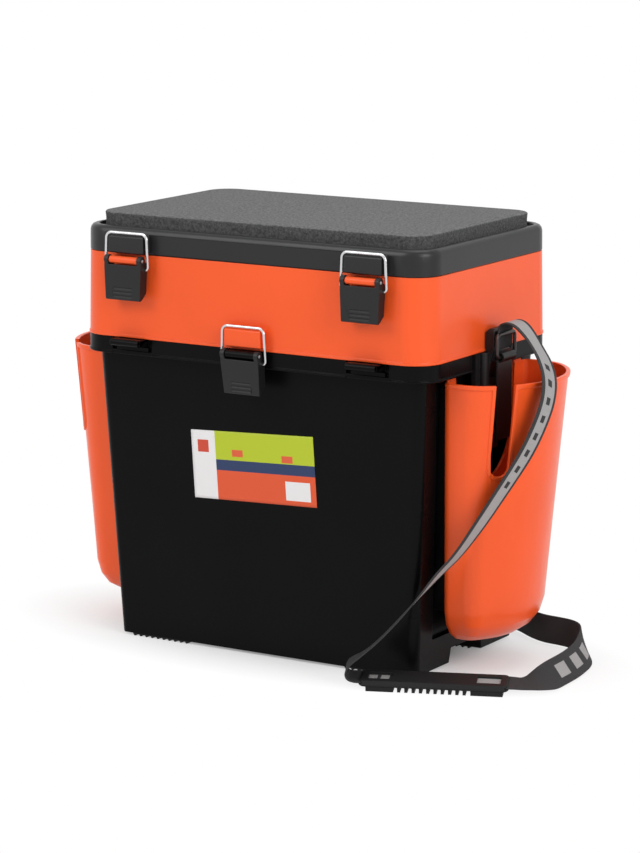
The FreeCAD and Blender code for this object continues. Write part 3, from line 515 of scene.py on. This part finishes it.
# each print's tone, and what dashes takes; a pitch longer than the webbing is one long band
web_tone = dark
for tone, blocks in ((light, (2.0, -0.1, 1.1, 0.33, -0.1, 0.405)),
                     (dark, (0.017, 0.20, 0.60, 0.13, 0.085, 0.215)),
                     (light, (0.011, 0.15, 0.85, 0.14, 0.462, 0.486)),
                     (light, (2.0, -0.1, 1.1, 0.24, 0.562, 0.585)),
                     (light, (0.034, 0.16, 0.74, 0.24, 0.650, 0.760)),
                     (light, (2.0, -0.1, 1.1, 0.33, 0.96, 1.40)),
                     (dark, (0.017, 0.20, 0.60, 0.13, 1.05, 1.18))):
    web_tone = add(tree, "ShaderNodeMix", {0: dashes(*blocks), 6: web_tone, 7: tone}, out=2,
                   data_type="RGBA")
tree.links.new(web_tone, shader.inputs["Base Color"])
picks = add(tree, "ShaderNodeMath", {0: web_u, 1: 2 * math.pi / pick_pitch}, operation="MULTIPLY")
pick = add(tree, "ShaderNodeMath", {0: picks}, operation="SINE")
ribs = add(tree, "ShaderNodeMath", {0: web_v, 1: 2 * math.pi * web_ribs}, operation="MULTIPLY")
rib = add(tree, "ShaderNodeMath", {0: ribs}, operation="SINE")
weave = add(tree, "ShaderNodeMath", {0: pick, 1: rib}, operation="MULTIPLY")
fuzz = add(tree, "ShaderNodeBump", {"Height": thread, "Distance": 0.00008})
tree.links.new(add(tree, "ShaderNodeBump", {"Height": weave, "Distance": 0.00016, "Strength": 0.8,
                                            "Normal": fuzz}), shader.inputs["Normal"])
strap = put("strap", web_mesh)
web_mesh.materials.append(webbing)
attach(strap, "bin")
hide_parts("strap_front", "strap_rear")

# Shoulder pad: a moulded rubber slide on the webbing, lying on the floor on ten cross
# ribs and two end blocks, with a window at each end where the webbing shows.
pad_skin = eased("shoulder_pad", rubber, 0.0005)

# Studio: a pale floor that turns to white away from the box, white all round for the
# camera and for reflections, and three large soft lamps.
floor_half, shade_end, white_start, lamp_target = 30.0, 0.06, 0.17, (0, 0, 0.2)
floor_mesh = bpy.data.meshes.new("floor")
floor_mesh.from_pydata([(x * floor_half, y * floor_half, 0)
                        for x, y in ((-1, -1), (1, -1), (1, 1), (-1, 1))], [], [(0, 1, 2, 3)])
floor = put("floor", floor_mesh)
pale_floor, tree, shader, place = finish("pale_floor", "F6F6F6", 0.9, 0.0)
squeezed = add(tree, "ShaderNodeMapping", {"Vector": place, "Scale": (0.5, 1.0, 1.0)})
length = add(tree, "ShaderNodeVectorMath", {0: squeezed}, out="Value", operation="LENGTH")
far = add(tree, "ShaderNodeMapRange", {"Value": length, "From Min": shade_end,
                                       "From Max": white_start})


def seen(tree):
    """1 for camera, glossy and transmission rays, 0 for the light that the surface gives."""
    camera_ray = add(tree, "ShaderNodeLightPath", out="Is Camera Ray")
    rays = camera_ray.node.outputs
    bounced = add(tree, "ShaderNodeMath", {0: rays["Is Glossy Ray"], 1: rays["Is Transmission Ray"]},
                  operation="MAXIMUM")
    return add(tree, "ShaderNodeMath", {0: camera_ray, 1: bounced}, operation="MAXIMUM")


white = add(tree, "ShaderNodeEmission", {"Color": (1, 1, 1, 1), "Strength": 1.0})
amount = add(tree, "ShaderNodeMath", {0: far, 1: seen(tree)}, operation="MULTIPLY")
blend = add(tree, "ShaderNodeMixShader", {0: amount, 1: shader.outputs[0], 2: white})
tree.links.new(blend, tree.nodes["Material Output"].inputs[0])
floor_mesh.materials.append(pale_floor)

world = bpy.data.worlds.new("studio")
bpy.context.scene.world = world
world.use_nodes = True
tree = world.node_tree
dim = add(tree, "ShaderNodeBackground", {"Color": (1, 1, 1, 1), "Strength": 0.46})
clear = add(tree, "ShaderNodeBackground", {"Color": (1, 1, 1, 1), "Strength": 1.0})
tree.links.new(add(tree, "ShaderNodeMixShader", {0: seen(tree), 1: dim, 2: clear}),
               tree.nodes["World Output"].inputs[0])

for name, spot, size, power in (("key", (-1.4, -2.6, 2.3), 1.8, 42.0),
                                ("fill", (2.9, -1.0, 1.5), 1.6, 45.0),
                                ("top", (0.2, 0.3, 2.8), 1.8, 22.0)):
    lamp = bpy.data.lights.new(name, "AREA")
    lamp.shape, lamp.size, lamp.energy = "SQUARE", size, power
    aim(put(name, lamp), spot, lamp_target)

bpy.context.scene.view_settings.view_transform = "Standard"
